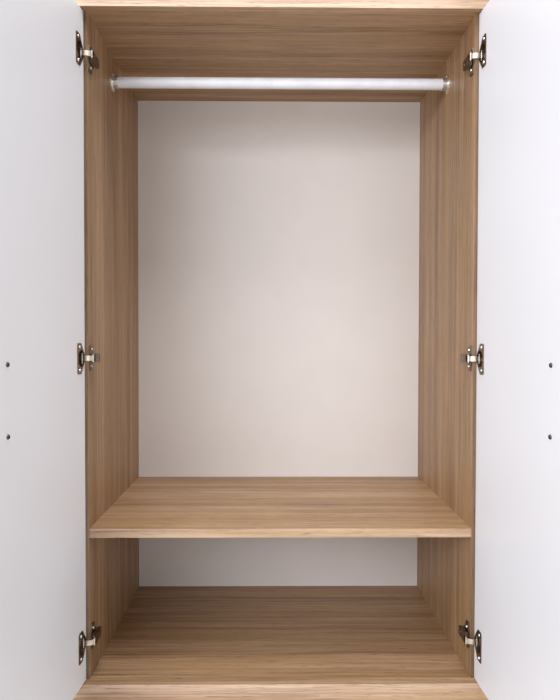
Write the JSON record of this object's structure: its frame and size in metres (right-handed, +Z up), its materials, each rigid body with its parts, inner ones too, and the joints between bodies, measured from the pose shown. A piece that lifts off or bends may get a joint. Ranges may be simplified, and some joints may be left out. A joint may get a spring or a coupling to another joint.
{
  "type": "two-door wardrobe",
  "caption": "Open-fronted board carcass on a plinth with a hanging rail, a fixed low shelf and two doors on concealed cup hinges.",
  "frame": {"origin": "underside of the glide in the middle of the footprint, on the floor", "axes": "+X to the right as seen from the front, +Y to the back, +Z up; the doors stand open at rest"},
  "size_m": [0.9138, 0.9044, 1.438],
  "materials": {
    "white_edge_band": "smooth plastic edge band",
    "white_melamine": "white melamine-faced board",
    "oak_edge_band": "wood-print edge band",
    "oak_plinth": "oak-print melamine, grain level",
    "oak_upright": "oak-print melamine, grain upright",
    "oak_level": "oak-print melamine, grain level",
    "back_sheet": "thin fibreboard with an off-white face",
    "rail_paint": "white enamelled tube",
    "rail_socket": "light grey plastic",
    "beech_dowel": "plain beech",
    "glide_plastic": "dark plastic",
    "hinge_link_steel": "bright nickel plate",
    "hinge_nickel": "aged nickel plate",
    "handle_metal": "satin steel",
    "screw_steel": "zinc-plated steel"
  },
  "bodies": {
    "carcass": {"back_panel": "back_sheet", "back_panel_screws": "screw_steel", "bottom_panel": "oak_level", "carcass_dowels": "beech_dowel", "carcass_edge_bands": "oak_edge_band", "carcass_screws": "screw_steel", "fixed_shelf": "oak_level", "floor_glides": "glide_plastic", "hanging_rail": "rail_paint", "hinge_arm_left_bottom": "hinge_nickel", "hinge_arm_left_middle": "hinge_nickel", "hinge_arm_left_top": "hinge_nickel", "hinge_arm_pins": "screw_steel", "hinge_arm_right_bottom": "hinge_nickel", "hinge_arm_right_middle": "hinge_nickel", "hinge_arm_right_top": "hinge_nickel", "hinge_arm_screws": "screw_steel", "hinge_plate_left_bottom": "hinge_nickel", "hinge_plate_left_middle": "hinge_nickel", "hinge_plate_left_top": "hinge_nickel", "hinge_plate_right_bottom": "hinge_nickel", "hinge_plate_right_middle": "hinge_nickel", "hinge_plate_right_top": "hinge_nickel", "hinge_plate_screws": "screw_steel", "plinth_back": "oak_plinth", "plinth_front": "oak_plinth", "plinth_left": "oak_plinth", "plinth_right": "oak_plinth", "plinth_stretcher": "oak_plinth", "rail_socket_left": "rail_socket", "rail_socket_right": "rail_socket", "rail_socket_screws": "screw_steel", "side_panel_left": "oak_upright", "side_panel_right": "oak_upright", "top_panel": "oak_level"},
    "left_links": {"hinge_link_left_bottom": "hinge_link_steel", "hinge_link_left_middle": "hinge_link_steel", "hinge_link_left_top": "hinge_link_steel"},
    "right_links": {"hinge_link_right_bottom": "hinge_link_steel", "hinge_link_right_middle": "hinge_link_steel", "hinge_link_right_top": "hinge_link_steel"},
    "left_door": {"door_edge_band_left": "white_edge_band", "door_left": "white_melamine", "handle_left": "handle_metal", "handle_screws_left": "screw_steel", "hinge_cup_left_bottom": "hinge_nickel", "hinge_cup_left_middle": "hinge_nickel", "hinge_cup_left_top": "hinge_nickel", "hinge_cup_pins_left": "screw_steel", "hinge_cup_screws_left": "screw_steel"},
    "right_door": {"door_edge_band_right": "white_edge_band", "door_right": "white_melamine", "handle_right": "handle_metal", "handle_screws_right": "screw_steel", "hinge_cup_pins_right": "screw_steel", "hinge_cup_right_bottom": "hinge_nickel", "hinge_cup_right_middle": "hinge_nickel", "hinge_cup_right_top": "hinge_nickel", "hinge_cup_screws_right": "screw_steel"}
  },
  "joints": [
    {"name": "left_link_swing", "type": "hinge", "parent": "carcass", "child": "left_links", "pos_m": [-0.37, -0.249, 0.741], "axis": [0, 0, -1], "range_deg": [-3.44, 28.16]},
    {"name": "left_door_swing", "type": "hinge", "parent": "left_links", "child": "left_door", "pos_m": [-0.3899, -0.25419, 0.741], "axis": [0, 0, -1], "range_deg": [-121.81, 14.69]},
    {"name": "right_link_swing", "type": "hinge", "parent": "carcass", "child": "right_links", "pos_m": [0.37, -0.249, 0.741], "axis": [0, 0, 1], "range_deg": [-4.04, 27.56]},
    {"name": "right_door_swing", "type": "hinge", "parent": "right_links", "child": "right_door", "pos_m": [0.38996, -0.25398, 0.741], "axis": [0, 0, 1], "range_deg": [-119.21, 17.29]}
  ],
  "couplings": [
    {"joint": "left_link_swing", "follows": "left_door_swing", "ratio": -0.23077},
    {"joint": "right_link_swing", "follows": "right_door_swing", "ratio": -0.23077}
  ]
}
